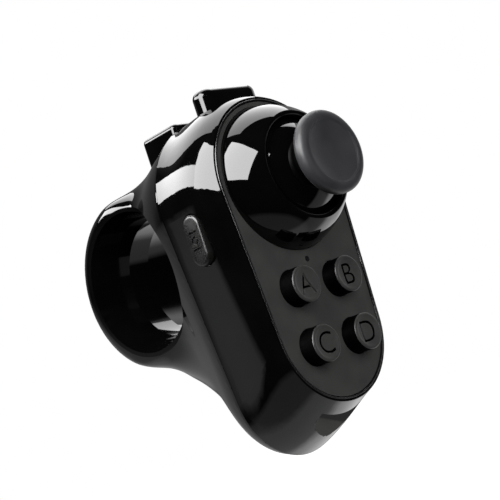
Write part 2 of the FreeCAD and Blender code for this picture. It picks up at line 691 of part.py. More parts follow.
status_led = slab("status_led", (0.0, BOARD - 0.4, -size("led_z")), (1.6, 0.8, 0.8))
light_pipe = rod("light_pipe", 0.5, 5.0, (0.0, FACE + 0.12, -size("led_z")), "Y")
radio_shield = box("radio_shield", (-10.0, BOARD_BACK, -7.0), (8.0, 1.4, 9.0))
charge_chip = box("charge_chip", (3.0, BOARD_BACK, -12.0), (4.0, 0.9, 4.0))
cell_block = box("cell_block", (-8.2, -24.0, -17.0), (16.4, 4.6, 24.0))
battery = doc.addObject("Part::Fillet", "battery")
battery.Base = cell_block
doc.recompute()
battery.Edges = [(i + 1, 1.2, 1.2) for i, edge in enumerate(cell_block.Shape.Edges)
                 if abs(edge.tangentAt(edge.FirstParameter).z) > 0.9]

# --- charging socket, side key, mode switch ----------------------------------------------------
usb_socket = cut(
    "usb_socket",
    slab("usb_block", (11.1, BOARD_BACK + 1.3, USB_Z), (4.9, 2.6, 7.4)),
    slab("usb_mouth", (12.3, BOARD_BACK + 1.3, USB_Z), (4.9, 1.9, 6.7)))
usb_tongue = slab("usb_tongue", (11.3, BOARD_BACK + 1.0, USB_Z), (2.8, 0.6, 5.0))

SIDE_FACE = -17.25
SIDE_PLUNGER_RAD = 0.6
WELL_FIT = 0.06
side_key = joined(
    "side_key",
    racetrack("side_key_cap", size("side_key_long"), size("side_key_wide"), SIDE_FACE, 3.3,
              (SIDE_Y, SIDE_Z)),
    slab("side_key_flange", (-13.9, SIDE_Y, SIDE_Z), (0.4, 5.0, 9.8)))
SIDE_PLUNGER_Y = BOARD_BACK + 1.2
side_plunger = rod("side_plunger", SIDE_PLUNGER_RAD, 1.3, (-13.69, SIDE_PLUNGER_Y, SIDE_Z), "X")
side_switch = cut(
    "side_switch",
    slab("side_switch_can", (-11.6, BOARD_BACK + 1.2, SIDE_Z), (2.6, 2.4, 4.6)),
    rod("side_switch_well", SIDE_PLUNGER_RAD + WELL_FIT, 2.0, (-13.4, SIDE_PLUNGER_Y, SIDE_Z), "X"))

MODE_REST = SIDE_Z - 1.0
mode_knob = joined(
    "mode_knob",
    slab("mode_knob_cap", (16.3, MODE_Y, MODE_REST), (2.2, 1.9, 2.8)),
    slab("mode_knob_blade", (14.1, MODE_Y, MODE_REST), (3.0, 1.2, 1.4)))
mode_switch = cut(
    "mode_switch",
    slab("mode_switch_can", (11.4, BOARD_BACK + 1.6, SIDE_Z), (3.0, 3.2, 6.4)),
    slab("mode_switch_way", (12.8, MODE_Y, SIDE_Z), (2.0, 1.6, 4.0)))

# --- triggers ------------------------------------------------------------------------------------


def trigger(name, middle_y, deep, top, foot, half, corner, edge):
    """A trigger bar: an upright prism with rounded corners in plan and a rounded top edge."""
    body = doc.addObject("PartDesign::Body", name)
    sketch = new_sketch(body, name + "_plan", "XY_Plane", foot)
    low, high = middle_y - deep / 2, middle_y + deep / 2
    inner = half - corner
    draw_profile(sketch, [
        (-inner, low),
        (inner, low, corner),
        (half, low + corner),
        (half, high - corner, corner),
        (inner, high),
        (-inner, high, corner),
        (-half, high - corner),
        (-half, low + corner, corner),
    ])
    pad = body.newObject("PartDesign::Pad", name + "_pad")
    pad.Profile = sketch
    bind(pad, "Length", top - foot)
    doc.recompute()
    top_face = max(range(len(pad.Shape.Faces)), key=lambda k: pad.Shape.Faces[k].CenterOfMass.z)
    fillet = body.newObject("PartDesign::Fillet", name + "_edge")
    fillet.Base = (pad, ["Face%d" % (top_face + 1)])
    bind(fillet, "Radius", edge)
    body.Tip = fillet
    return body


UPPER_FOOT = 20.2
upper_trigger = joined(
    "upper_trigger",
    trigger("upper_bar", UPPER_Y, size("upper_trigger_deep"), size("upper_trigger_top"),
            as_dim(UPPER_FOOT), TRIGGER_HALF, size("upper_trigger_corner"), size("upper_trigger_edge")),
    slab("upper_flange", (0.0, UPPER_Y, UPPER_FOOT + 0.4), (15.0, 5.8, 0.8)))
LOWER_FOOT = 17.6
lower_trigger = joined(
    "lower_trigger",
    trigger("lower_bar", LOWER_Y, size("lower_trigger_deep"), size("lower_trigger_top"),
            as_dim(LOWER_FOOT), LOWER_HALF, size("lower_trigger_corner"), size("lower_trigger_edge")),
    slab("lower_flange", (0.0, SEAM + 3.6, LOWER_FOOT + 0.35), (13.6, 5.4, 0.7)))

TRIGGER_PLUNGER_RAD = 0.7
TRIGGER_WELL_RAD = TRIGGER_PLUNGER_RAD + WELL_FIT
UPPER_SWITCH_Y = BOARD_BACK + 1.5
upper_plunger = rod("upper_plunger", TRIGGER_PLUNGER_RAD, 2.7, (0.0, UPPER_SWITCH_Y, UPPER_FOOT - 2.71), "Z")
upper_switch = cut(
    "upper_switch",
    slab("upper_switch_can", (0.0, UPPER_SWITCH_Y, 16.7), (4.8, 3.0, 3.4)),
    rod("upper_switch_well", TRIGGER_WELL_RAD, 3.0, (0.0, UPPER_SWITCH_Y, 16.0), "Z"))
TRIGGER_BOARD_Z = 14.0
LOWER_SWITCH_Y = -13.6
trigger_board = slab("trigger_board", (0.0, LOWER_SWITCH_Y, TRIGGER_BOARD_Z), (16.0, 6.0, 1.0))
lower_plunger = rod("lower_plunger", TRIGGER_PLUNGER_RAD, 2.0, (0.0, LOWER_SWITCH_Y, LOWER_FOOT - 2.01), "Z")
lower_switch = cut(
    "lower_switch",
    slab("lower_switch_can", (0.0, LOWER_SWITCH_Y, TRIGGER_BOARD_Z + 1.5), (4.6, 4.6, 2.0)),
    rod("lower_switch_well", TRIGGER_WELL_RAD, 3.0, (0.0, LOWER_SWITCH_Y, TRIGGER_BOARD_Z + 0.5), "Z"))

# --- the screws that close the shells -----------------------------------------------
closing = []
for side, x in SCREW_SIDES:
    shank = rod("closing_shank_" + side, size("screw_rad") - 0.02, 7.4, (x, SEAM - 5.0, SCREW_Z), "Y")
    head = rod("closing_head_" + side, size("screw_head"), 1.1, (x, SEAM + 2.4, SCREW_Z), "Y")
    drives = [slab("closing_drive_%s_%d" % (side, turn), (x, SEAM + 3.3, SCREW_Z), extent)
              for turn, extent in enumerate(((1.9, 0.7, 0.4), (0.4, 0.7, 1.9)))]
    closing.append(cut("closing_screw_" + side, joined("closing_body_" + side, shank, head), *drives))
closing_screws = group("closing_screws", *closing)

# --- what is written: every piece is one node ----------------------------------------------------
NODES = [
    front_shell, rear_shell, ring_liner, face_plate, stick_dome, stick_cap, stick_ball, stick_stem,
    stick_pin, gimbal_yoke, slot_rocker, joystick_housing, tilt_sensor_side, tilt_sensor_top,
    *buttons, *plungers, key_switches, main_board, board_screws, status_led, light_pipe,
    radio_shield, charge_chip, battery, usb_socket, usb_tongue, side_key, side_plunger,
    side_switch, mode_knob, mode_switch, upper_trigger, upper_plunger, upper_switch,
    lower_trigger, lower_plunger, lower_switch, trigger_board, closing_screws,
]
doc.recompute()
for obj in doc.Objects:
    if "Invalid" in obj.State or "Error" in obj.State:
        raise SystemExit("%s did not build: %s" % (obj.Name, obj.State))
os.makedirs("parts", exist_ok=True)
for node in NODES:
    shape = node.Shape
    if shape.isNull() or not shape.isValid() or not shape.Solids:
        raise SystemExit("%s has no valid solid" % node.Label)
    shape.exportStep("parts/%s.step" % node.Label)
    print("%-18s solids %d  volume %.1f" % (node.Label, len(shape.Solids), shape.Volume))
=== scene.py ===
"""Looks for a thumbstick controller worn on a finger: gloss black shell, matte key panel, soft stick."""
import json
import math

import bmesh
import bpy
from mathutils import Matrix, Vector
from mathutils.kdtree import KDTree


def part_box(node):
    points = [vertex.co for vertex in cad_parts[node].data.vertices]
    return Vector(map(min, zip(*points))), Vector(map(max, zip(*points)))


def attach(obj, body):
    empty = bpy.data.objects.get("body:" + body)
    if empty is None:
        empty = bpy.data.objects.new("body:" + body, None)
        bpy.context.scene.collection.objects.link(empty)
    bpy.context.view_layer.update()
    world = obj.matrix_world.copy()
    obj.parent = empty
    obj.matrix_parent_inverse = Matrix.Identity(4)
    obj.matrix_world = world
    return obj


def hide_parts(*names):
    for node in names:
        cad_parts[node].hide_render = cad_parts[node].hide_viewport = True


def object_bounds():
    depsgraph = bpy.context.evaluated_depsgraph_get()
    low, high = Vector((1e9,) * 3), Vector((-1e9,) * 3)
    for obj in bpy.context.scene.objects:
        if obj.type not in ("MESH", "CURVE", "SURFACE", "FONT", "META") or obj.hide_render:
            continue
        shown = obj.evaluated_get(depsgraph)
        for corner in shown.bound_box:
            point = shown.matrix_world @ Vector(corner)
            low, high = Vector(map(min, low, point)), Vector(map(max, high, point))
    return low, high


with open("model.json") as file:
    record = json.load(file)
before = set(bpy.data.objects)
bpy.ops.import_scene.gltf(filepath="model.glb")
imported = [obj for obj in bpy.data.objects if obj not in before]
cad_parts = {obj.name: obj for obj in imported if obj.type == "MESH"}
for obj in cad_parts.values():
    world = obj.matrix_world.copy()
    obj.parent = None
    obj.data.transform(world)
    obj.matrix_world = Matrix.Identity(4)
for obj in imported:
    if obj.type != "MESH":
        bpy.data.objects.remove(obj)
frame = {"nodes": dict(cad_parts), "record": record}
cad_box = [list(corner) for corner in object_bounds()]
MM = 0.001
scene = bpy.context.scene


# --- finishes ------------------------------------------------------------------------------
def linear(code):
    """A hex colour as the linear numbers that a shader takes."""
    parts = [int(code[i:i + 2], 16) / 255 for i in (1, 3, 5)]
    return tuple(p / 12.92 if p <= 0.04045 else ((p + 0.055) / 1.055) ** 2.4 for p in parts) + (1.0,)


def per(size_mm):
    """Noise scale that gives one feature every so many millimetres."""
    return 1.0 / (size_mm * MM)


def add(finish, kind, sockets=None, **settings):
    """Adds one node with its settings, and its sockets set to values or linked to other nodes."""
    tree = finish.node_tree
    node = tree.nodes.new(kind)
    for key, value in settings.items():
        setattr(node, key, value)
    for key, value in (sockets or {}).items():
        if isinstance(value, bpy.types.NodeSocket):
            tree.links.new(value, node.inputs[key])
        else:
            node.inputs[key].default_value = value
    return node


def new_finish(name, **values):
    """A material with one Principled shader: values are its uniform sockets."""
    finish = bpy.data.materials.new(name)
    finish.use_nodes = True
    finish.node_tree.nodes.clear()
    shader = add(finish, "ShaderNodeBsdfPrincipled")
    out = add(finish, "ShaderNodeOutputMaterial")
    finish.node_tree.links.new(shader.outputs["BSDF"], out.inputs["Surface"])
    for key, value in values.items():
        shader.inputs[key.replace("_", " ")].default_value = value
    place = add(finish, "ShaderNodeTexCoord")
    return finish, shader, place.outputs["Object"]


def varied(finish, shader, place, socket, size_mm, low, high, detail=3.0):
    """A socket wanders between two numbers, or two colours, over patches of that size."""
    noise = add(finish, "ShaderNodeTexNoise", {"Vector": place, "Scale": per(size_mm), "Detail": detail})
    ramp = add(finish, "ShaderNodeMapRange",
               {"Value": noise.outputs["Fac"], "From Min": 0.3, "From Max": 0.7})
    if isinstance(low, str):
        mix = add(finish, "ShaderNodeMix", {0: ramp.outputs["Result"], 6: linear(low), 7: linear(high)},
                  data_type="RGBA")
        finish.node_tree.links.new(mix.outputs[2], shader.inputs[socket])
    else:
        ramp.inputs["To Min"].default_value = low
        ramp.inputs["To Max"].default_value = high
        finish.node_tree.links.new(ramp.outputs["Result"], shader.inputs[socket])
    return noise


def grained(finish, shader, place, size_mm, height_mm, strength, detail=2.0, below=None):
    """A bump of that grain and height, over any bump below it."""
    noise = add(finish, "ShaderNodeTexNoise", {"Vector": place, "Scale": per(size_mm), "Detail": detail})
    bump = add(finish, "ShaderNodeBump",
               {"Height": noise.outputs["Fac"], "Distance": height_mm * MM, "Strength": strength})
    if below is not None:
        finish.node_tree.links.new(below.outputs["Normal"], bump.inputs["Normal"])
    finish.node_tree.links.new(bump.outputs["Normal"], shader.inputs["Normal"])
    return bump


def gloss_abs(name, low, high, rough):
    """Black ABS moulded against a mirror-polished tool: sharp reflections, a faint slow waviness
    from shrinkage, and a thin haze where fingers have wiped it."""
    finish, shader, place = new_finish(name, IOR=1.53)
    varied(finish, shader, place, "Base Color", 9.0, low, high)
    varied(finish, shader, place, "Roughness", 5.0, rough * 0.7, rough * 1.5, 5.0)
    grained(finish, shader, place, 7.0, 0.02, 0.12, 0.0)
    return finish


shell_gloss = gloss_abs("black_abs_mirror_moulded", "#010101", "#030303", 0.035)
liner_gloss = gloss_abs("black_abs_polished_sleeve", "#020202", "#040404", 0.06)
dome_gloss = gloss_abs("black_polycarbonate_dome", "#010101", "#020202", 0.025)
side_key_gloss = gloss_abs("black_abs_semi_gloss_key", "#070707", "#0c0c0b", 0.22)
trigger_gloss = gloss_abs("black_abs_gloss_trigger", "#010101", "#030303", 0.05)


def satin_abs(name, low, high, rough, grain_mm, height_mm, strength, **more):
    """ABS moulded against a spark-textured tool: a fine even grain that scatters the light.
    The grain is drawn about twice as coarse as the real one so that it shows."""
    finish, shader, place = new_finish(name, IOR=1.5, **more)
    varied(finish, shader, place, "Base Color", 4.0, low, high, 4.0)
    varied(finish, shader, place, "Roughness", 3.0, rough * 0.9, rough * 1.1)
    grained(finish, shader, place, grain_mm, height_mm, strength)
    return finish


plate_matte = satin_abs("black_abs_spark_textured", "#1d1d1d", "#232322", 0.48, 0.16, 0.012, 0.5)
key_satin = satin_abs("black_abs_satin_key", "#1c1c1c", "#222221", 0.40, 0.12, 0.008, 0.4)
# The flanks of the keys, the floors of the engraved letters and the walls of the recess in the foot get
# painted shade: near-black and almost without shine
shade_black = satin_abs("black_abs_painted_shade", "#000000", "#010101", 0.6, 0.12, 0.008, 0.3,
                       Specular_IOR_Level=0.02)
# The bead round the panel is buffed, so it shines more than the panel and less than the shell
edge_satin = satin_abs("black_abs_buffed_edge", "#0a0a0b", "#101011", 0.24, 0.4, 0.006, 0.3,
                       Specular_IOR_Level=0.9)

# The recess in the foot, in millimetres: its front wall, roof and half width, and the ramp's normal.
# The ramp is dull grey, with a painted shadow: near-black towards its front corner on one side.
RECESS_FRONT = -29.6
RECESS_ROOF = -33.0
RECESS_HALF = 5.4
RAMP_NORMAL = (0.6585, 0.7526)
SHADE_EDGE = -26.65 * MM
SHADE_SLANT = 0.306
SHADE_BLUR = 0.25 * MM
ramp_painted_shade, shader, place = new_finish("black_abs_recess_ramp_painted_shadow", IOR=1.5, Specular_IOR_Level=0.1,
                                       Roughness=0.55)
axes = add(ramp_painted_shade, "ShaderNodeSeparateXYZ", {"Vector": place})
slant = add(ramp_painted_shade, "ShaderNodeMath", {0: axes.outputs["X"], 1: SHADE_SLANT}, operation="MULTIPLY")
depth = add(ramp_painted_shade, "ShaderNodeMath", {0: axes.outputs["Y"], 1: slant.outputs["Value"]},
            operation="SUBTRACT")
shade = add(ramp_painted_shade, "ShaderNodeMapRange", {"Value": depth.outputs["Value"], "From Min": SHADE_EDGE,
                                               "From Max": SHADE_EDGE + SHADE_BLUR})
# Near-black on the shaded side of the edge, the ramp's own grey beyond it: a painted shadow
shade_colour = add(ramp_painted_shade, "ShaderNodeMix",
           {0: shade.outputs["Result"], 6: linear("#020202"), 7: linear("#2c2c2a")}, data_type="RGBA")
ramp_painted_shade.node_tree.links.new(shade_colour.outputs[2], shader.inputs["Base Color"])
cap_soft = satin_abs("soft_touch_elastomer", "#19191b", "#1f1f21", 0.46, 0.14, 0.010, 0.4)
pom_black = satin_abs("black_acetal_moulded", "#141415", "#1a1a1b", 0.35, 0.3, 0.01, 0.3)
pom_white = satin_abs("natural_acetal_moulded", "#cfcdc6", "#dad8d1", 0.35, 0.3, 0.01, 0.3)
sensor_black = satin_abs("glass_filled_nylon_black", "#17181a", "#1f2022", 0.55, 0.2, 0.015, 0.5)
chip_epoxy = satin_abs("moulding_compound_epoxy", "#1d1d1f", "#262628", 0.6, 0.1, 0.008, 0.5)


def metal(name, low, high, rough, grain_mm, strength):
    """Sheet or turned metal: a light drawn grain and a little unevenness in its shine."""
    finish, shader, place = new_finish(name, Metallic=1.0)
    varied(finish, shader, place, "Base Color", 3.0, low, high)
    varied(finish, shader, place, "Roughness", 1.5, rough * 0.8, rough * 1.25)
    stretch = add(finish, "ShaderNodeMapping", {"Vector": place, "Scale": (1.0, 1.0, 8.0)})
    grained(finish, shader, stretch.outputs["Vector"], grain_mm, 0.006, strength)
    return finish


can_tin = metal("tinned_steel_can", "#b9b9b5", "#cfcfca", 0.32, 0.2, 0.3)
switch_steel = metal("stainless_spring_steel", "#a9aaab", "#c2c3c4", 0.28, 0.2, 0.25)
pin_steel = metal("bright_turned_steel", "#b4b5b6", "#cccdce", 0.2, 0.1, 0.2)
screw_steel = metal("black_zinc_steel", "#2a2a2c", "#3a3a3c", 0.35, 0.1, 0.3)
cell_foil = metal("aluminium_laminate_pouch", "#bfc1c2", "#d6d8d9", 0.38, 0.8, 0.6)

# Solder mask over woven glass and epoxy: green lacquer, with the weave as a faint square relief
board_mask, shader, place = new_finish("solder_mask_green", Coat_Weight=0.5, Coat_Roughness=0.1, IOR=1.5)
varied(board_mask, shader, place, "Base Color", 1.2, "#0d3b22", "#14502f", 5.0)
varied(board_mask, shader, place, "Roughness", 1.0, 0.3, 0.45)
grained(board_mask, shader, place, 0.5, 0.01, 0.4)

# Clear acrylic light guide and diffuser: nearly colourless, with a smoky tint that hides it unlit
pipe_clear, shader, place = new_finish("smoked_acrylic_light_guide", IOR=1.49, Transmission_Weight=0.25)
varied(pipe_clear, shader, place, "Base Color", 1.0, "#0b0b0d", "#121214")
varied(pipe_clear, shader, place, "Roughness", 0.8, 0.12, 0.2)
led_lens, shader, place = new_finish("milky_led_lens", IOR=1.5, Transmission_Weight=0.3)
varied(led_lens, shader, place, "Base Color", 0.8, "#d9dbd2", "#e8e9e2")
varied(led_lens, shader, place, "Roughness", 0.5, 0.15, 0.25)

FINISH_OF_SLOT = {
    "gloss_shell": shell_gloss, "gloss_liner": liner_gloss, "gloss_dome": dome_gloss,
    "gloss_trigger": trigger_gloss, "matte_plate": plate_matte, "rubber_cap": cap_soft,
    "satin_key": key_satin, "pom_post": pom_white, "pom_black": pom_black,
    "sensor_black": sensor_black, "switch_stem": pom_black, "switch_can": switch_steel,
    "tinned_can": can_tin, "bright_steel": pin_steel, "black_steel": screw_steel,
    "board_green": board_mask, "led_lens": led_lens, "clear_pipe": pipe_clear,
    "chip_epoxy": chip_epoxy, "cell_foil": cell_foil,
}
slot_of_node = {part["node"]: part["material_slot"] for part in frame["record"]["subparts"]}


def finish_all(piece, finish):
    """The whole piece gets one finish."""
    piece.data.materials.clear()
    piece.data.materials.append(finish)
    for face in piece.data.polygons:
        face.material_index = 0


for name, node in frame["nodes"].items():
    finish_all(node, FINISH_OF_SLOT[slot_of_node[name]])

# The recess in the foot: its ramp carries a painted shadow, and its wall and cheeks are painted near-black
# shade
front_shell = frame["nodes"]["front_shell"]
front_shell.data.materials.append(ramp_painted_shade)
front_shell.data.materials.append(shade_black)
for polygon in front_shell.data.polygons:
    x, y, z = polygon.center / MM
    if abs(x) > RECESS_HALF + 0.02 or z > RECESS_ROOF + 0.1:
        continue
    off_ramp = (y - RECESS_FRONT) * RAMP_NORMAL[0] + (z - RECESS_ROOF) * RAMP_NORMAL[1]
    on_ramp = abs(off_ramp) < 0.06
    on_wall = abs(y - RECESS_FRONT) < 0.03 or abs(abs(x) - RECESS_HALF) < 0.02
    if on_ramp:
        polygon.material_index = 1
    elif on_wall and max(abs(polygon.normal.x), abs(polygon.normal.y)) > 0.98:
        polygon.material_index = 2

# --- rear half: the shell sweeps into the finger ring in one smooth skin ----------------------
SEAM_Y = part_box("rear_shell")[0].y
RING_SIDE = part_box("ring_liner")[1].x / MM
# Egg outlines from the seam to the ring: how far behind the seam, head radius and height,
# foot radius and height
OUTLINES = [
    (0.0, 16.8, 7.6, 13.3, -26.8), (3.4, 16.0, 7.2, 12.4, -26.1), (7.4, 14.4, 7.2, 11.2, -20.1),
    (12.4, 11.9, 8.3, 10.2, -15.8), (17.4, 10.4, 8.4, 9.8, -12.4), (20.4, 10.2, 7.6, 9.6, -11.4),
]


def between(values, t):
    """A smooth curve through values at whole numbers, read at t."""
    i = min(int(t), len(values) - 2)
    u = t - i
    before = values[i - 1] if i else 2 * values[0] - values[1]
    after = values[i + 2] if i + 2 < len(values) else 2 * values[-1] - values[-2]
    a, b = values[i], values[i + 1]
    square = 2 * before - 5 * a + 4 * b - after
    cube = 3 * (a - b) + after - before
    return a + 0.5 * u * (b - before + u * (square + u * cube))


def egg_ring(form, y, head_rad, head_z, foot_rad, foot_z, around=128):
    """One egg outline: a circle's points slid onto the head circle or the foot circle."""
    made = bmesh.ops.create_circle(form, segments=around, radius=1.0,
                                   matrix=Matrix.Rotation(math.pi / 2, 4, "X"))["verts"]
    split = (foot_rad - head_rad) / (head_z - foot_z)
    for vert in made:
        out = vert.co.normalized()
        rad, middle_z = (head_rad, head_z) if out.z > split else (foot_rad, foot_z)
        vert.co = Vector((out.x * rad * MM, y, (middle_z + out.z * rad) * MM))
    return [edge for edge in form.edges if edge.verts[0] in made and edge.verts[1] in made]


def egg_solid(outlines, steps, shrink=0.0, start=0.0):
    """A closed lofted solid through egg outlines, thinner all round by shrink."""
    form = bmesh.new()
    columns = list(zip(*outlines))
    before = None
    last = len(outlines) - 1
    for step in range(steps + 1):
        back, head, head_z, foot, foot_z = (between(column, last * step / steps) for column in columns)
        y = SEAM_Y + (back + (start if step == 0 else 0.0)) * MM
        edges = egg_ring(form, y, head - shrink, head_z, foot - shrink, foot_z)
        if before is None:
            bmesh.ops.contextual_create(form, geom=edges)
        else:
            bmesh.ops.bridge_loops(form, edges=before + edges)
        before = edges
    bmesh.ops.contextual_create(form, geom=before)
    bmesh.ops.recalc_face_normals(form, faces=form.faces)
    return form


def to_piece(name, form, finish, smooth_deg=40.0):
    """A finished bmesh becomes a shaded piece."""
    mesh = bpy.data.meshes.new(name)
    form.to_mesh(mesh)
    form.free()
    piece = bpy.data.objects.new(name, mesh)
    scene.collection.objects.link(piece)
    mesh.shade_smooth()
    if smooth_deg:
        mesh.set_sharp_from_angle(angle=math.radians(smooth_deg))
    piece.data.materials.append(finish)
    return piece


def apply_all(piece):
    """The piece's modifiers become its mesh."""
    shown = bpy.context.evaluated_depsgraph_get()
    finished = bpy.data.meshes.new_from_object(piece.evaluated_get(shown))
    piece.modifiers.clear()
    piece.data = finished


def carve(piece, form):
    """Cuts a closed bmesh out of a piece."""
    tool = to_piece("tool", form, shell_gloss)
    cut = piece.modifiers.new("cut", "BOOLEAN")
    cut.operation = "DIFFERENCE"
    cut.solver = "EXACT"
    cut.object = tool
    bpy.context.view_layer.update()
    apply_all(piece)
    bpy.data.objects.remove(tool)
    piece.data.shade_smooth()
    piece.data.set_sharp_from_angle(angle=math.radians(30.0))


def spun(profile, around=96):
    """A closed solid of revolution about X through (x, radius) points in millimetres."""
    form = bmesh.new()
    verts = [form.verts.new((x * MM, 0.0, r * MM)) for x, r in profile]
    edges = [form.edges.new((verts[i], verts[(i + 1) % len(verts)])) for i in range(len(verts))]
    bmesh.ops.spin(form, geom=verts + edges, cent=(0.0, 0.0, 0.0), axis=(1.0, 0.0, 0.0),
                   angle=math.tau, steps=around, use_merge=True)
    bmesh.ops.remove_doubles(form, verts=form.verts, dist=1e-6)
    bmesh.ops.recalc_face_normals(form, faces=form.faces)
    return form


CROWN = ((0.0, 15.3), (0.35, 16.1), (1.3, 16.8), (3.6, 17.4), (6.9, 17.85))
ring_form = spun([(-RING_SIDE, 4.0), (RING_SIDE, 4.0)] + [(RING_SIDE - x, rad) for x, rad in CROWN]
                 + [(0.0, 18.0)] + [(x - RING_SIDE, rad) for x, rad in reversed(CROWN)])
tail_form = egg_solid(OUTLINES, 26, start=-1.5)
tail_mesh = bpy.data.meshes.new("tail")
tail_form.to_mesh(tail_mesh)
tail_form.free()
ring_form.from_mesh(tail_mesh)
rear_body = to_piece("rear_body", ring_form, shell_gloss, smooth_deg=0.0)
skin = rear_body.modifiers.new("one_skin", "REMESH")
skin.mode = "VOXEL"
skin.voxel_size = 0.42 * MM
skin.use_smooth_shade = True
bpy.context.view_layer.update()
apply_all(rear_body)

# Creases are found as hollow places, and the skin relaxes most near them
form = bmesh.new()
form.from_mesh(rear_body.data)
bmesh.ops.smooth_vert(form, verts=form.verts, factor=0.5, use_axis_x=True, use_axis_y=True, use_axis_z=True)
form.normal_update()
hollow = []
for vert in form.verts:
    if vert.co.y < SEAM_Y + 1.2 * MM or vert.co.y > 12.0 * MM:
        continue
    around = [edge.other_vert(vert).co for edge in vert.link_edges]
    mean = sum(around, Vector()) / len(around)
    if (mean - vert.co).dot(vert.normal) > 0.018 * MM:
        hollow.append(vert.co.copy())
creases = KDTree(len(hollow))
for i, place in enumerate(hollow):
    creases.insert(place, i)
creases.balance()
reach = {}
for vert in form.verts:
    if vert.co.y > SEAM_Y + 0.9 * MM:
        reach[vert] = creases.find(vert.co)[2]
for radius_mm, rounds in ((7.0, 30), (5.5, 60), (4.0, 120), (2.5, 160)):
    near = [vert for vert, gap in reach.items() if gap < radius_mm * MM]
    for _ in range(rounds):
        bmesh.ops.smooth_vert(form, verts=near, factor=0.5, use_axis_x=True, use_axis_y=True, use_axis_z=True)
allowed = [vert for vert in form.verts if vert.co.y > SEAM_Y + 0.9 * MM]
for _ in range(16):
    bmesh.ops.smooth_vert(form, verts=allowed, factor=0.5, use_axis_x=True, use_axis_y=True, use_axis_z=True)
for back, clear in ((0.28, False), (0.0, True)):
    bmesh.ops.bisect_plane(form, geom=form.verts[:] + form.edges[:] + form.faces[:], dist=1e-7,
                           plane_co=(0.0, SEAM_Y + back * MM, 0.0), plane_no=(0.0, 1.0, 0.0),
                           clear_inner=clear)
open_edges = [edge for edge in form.edges if edge.is_boundary]
form.normal_update()
lip_moves = []
for vert in {vert for edge in open_edges for vert in edge.verts}:
    lip_moves.append((vert, Vector((vert.normal.x, 0.0, vert.normal.z)).normalized() * 0.22 * MM))
for vert, move in lip_moves:
    vert.co -= move
bmesh.ops.contextual_create(form, geom=open_edges)
bmesh.ops.recalc_face_normals(form, faces=form.faces)
form.to_mesh(rear_body.data)
form.free()

FLARE = ((0.0, 14.3), (1.5, 14.5), (4.0, 15.3), (9.0, 17.4))
bore = spun([(-RING_SIDE - 9.0, 0.0), (RING_SIDE + 9.0, 0.0)]
            + [(RING_SIDE + x, rad) for x, rad in reversed(FLARE)]
            + [(-RING_SIDE - x, rad) for x, rad in FLARE])
carve(rear_body, bore)

# Inside it is hollow up to a wall around the bore
tail_room = to_piece("tail_room", egg_solid(OUTLINES[:4], 12, shrink=1.5, start=-1.0), shell_gloss)
carve(tail_room, spun([(-20.0, 0.0), (20.0, 0.0), (20.0, 15.6), (-20.0, 15.6)]))
room_form = bmesh.new()
room_form.from_mesh(tail_room.data)
bpy.data.objects.remove(tail_room)
carve(rear_body, room_form)


def pillar(rad, start, stop):
    """A closed round bar between two points."""
    form = bmesh.new()
    run = stop - start
    turn = run.to_track_quat("Z", "Y").to_matrix().to_4x4()
    bmesh.ops.create_cone(form, cap_ends=True, segments=48, radius1=rad, radius2=rad, depth=run.length,
                          matrix=Matrix.Translation((start + stop) / 2) @ turn)
    return form


def block(low_corner, high_corner):
    """A closed box between two corners."""
    form = bmesh.new()
    made = bmesh.ops.create_cube(form, size=1.0)["verts"]
    bmesh.ops.scale(form, vec=high_corner - low_corner, verts=made)
    bmesh.ops.translate(form, vec=(low_corner + high_corner) / 2, verts=made)
    return form


# Wells for the two closing screws, and the slot that the lower trigger slides in
screw_low, screw_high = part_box("closing_screws")
SCREW_HEAD_RAD = (screw_high.z - screw_low.z) / 2
for side in (screw_low.x + SCREW_HEAD_RAD, screw_high.x - SCREW_HEAD_RAD):
    foot = Vector((side, screw_high.y - 1.3 * MM, (screw_low.z + screw_high.z) / 2))
    carve(rear_body, pillar(SCREW_HEAD_RAD + 0.25 * MM, foot, foot + Vector((0.0, 12.0 * MM, 0.0))))
slot_low, slot_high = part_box("lower_trigger")
carve(rear_body, block(Vector((slot_low.x + 0.5 * MM, slot_low.y - 0.1 * MM, slot_low.z + 0.6 * MM)),
                       Vector((slot_high.x - 0.5 * MM, slot_high.y + 0.15 * MM, slot_high.z + 3.0 * MM))))
for polygon in rear_body.data.polygons:
    polygon.use_smooth = True
rear_body.data.set_sharp_from_angle(angle=math.radians(38.0))
finish_all(rear_body, shell_gloss)

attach(rear_body, "root")
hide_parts("rear_shell")

# --- bezel: a polished bead runs round the key panel --------------------------------------------
plate_low, plate_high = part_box("face_plate")
FACE_Y = plate_low.y
HEAD_Z, FOOT_Z = 8.1, -19.9
HEAD_RAD = (plate_high.z / MM) - HEAD_Z
FOOT_RAD = FOOT_Z - (plate_low.z / MM)
# How far outside the panel's edge, and how far behind its face, for each line of the bead
BEAD = ((0.16, 0.45), (0.17, -0.02), (0.24, -0.16), (0.34, -0.2), (0.44, -0.16), (0.51, -0.02), (0.52, 0.45))
form = bmesh.new()
lines = [egg_ring(form, FACE_Y + back * MM, HEAD_RAD + out, HEAD_Z, FOOT_RAD + out, FOOT_Z, around=256)
         for out, back in BEAD]
for inner, outer in zip(lines, lines[1:] + lines[:1]):
    bmesh.ops.bridge_loops(form, edges=inner + outer)
bmesh.ops.recalc_face_normals(form, faces=form.faces)
bezel_bead = to_piece("bezel_bead", form, edge_satin, smooth_deg=50.0)
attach(bezel_bead, "root")


# --- keys: each cap is engraved with its letter, the side key with a ring mark ------------------
def merged_copy(node, name, finish):
    """A welded copy of a CAD piece, ready to be cut."""
    form = bmesh.new()
    form.from_mesh(frame["nodes"][node].data)
    bmesh.ops.remove_doubles(form, verts=form.verts, dist=1e-6)
    return to_piece(name, form, finish, smooth_deg=30.0)


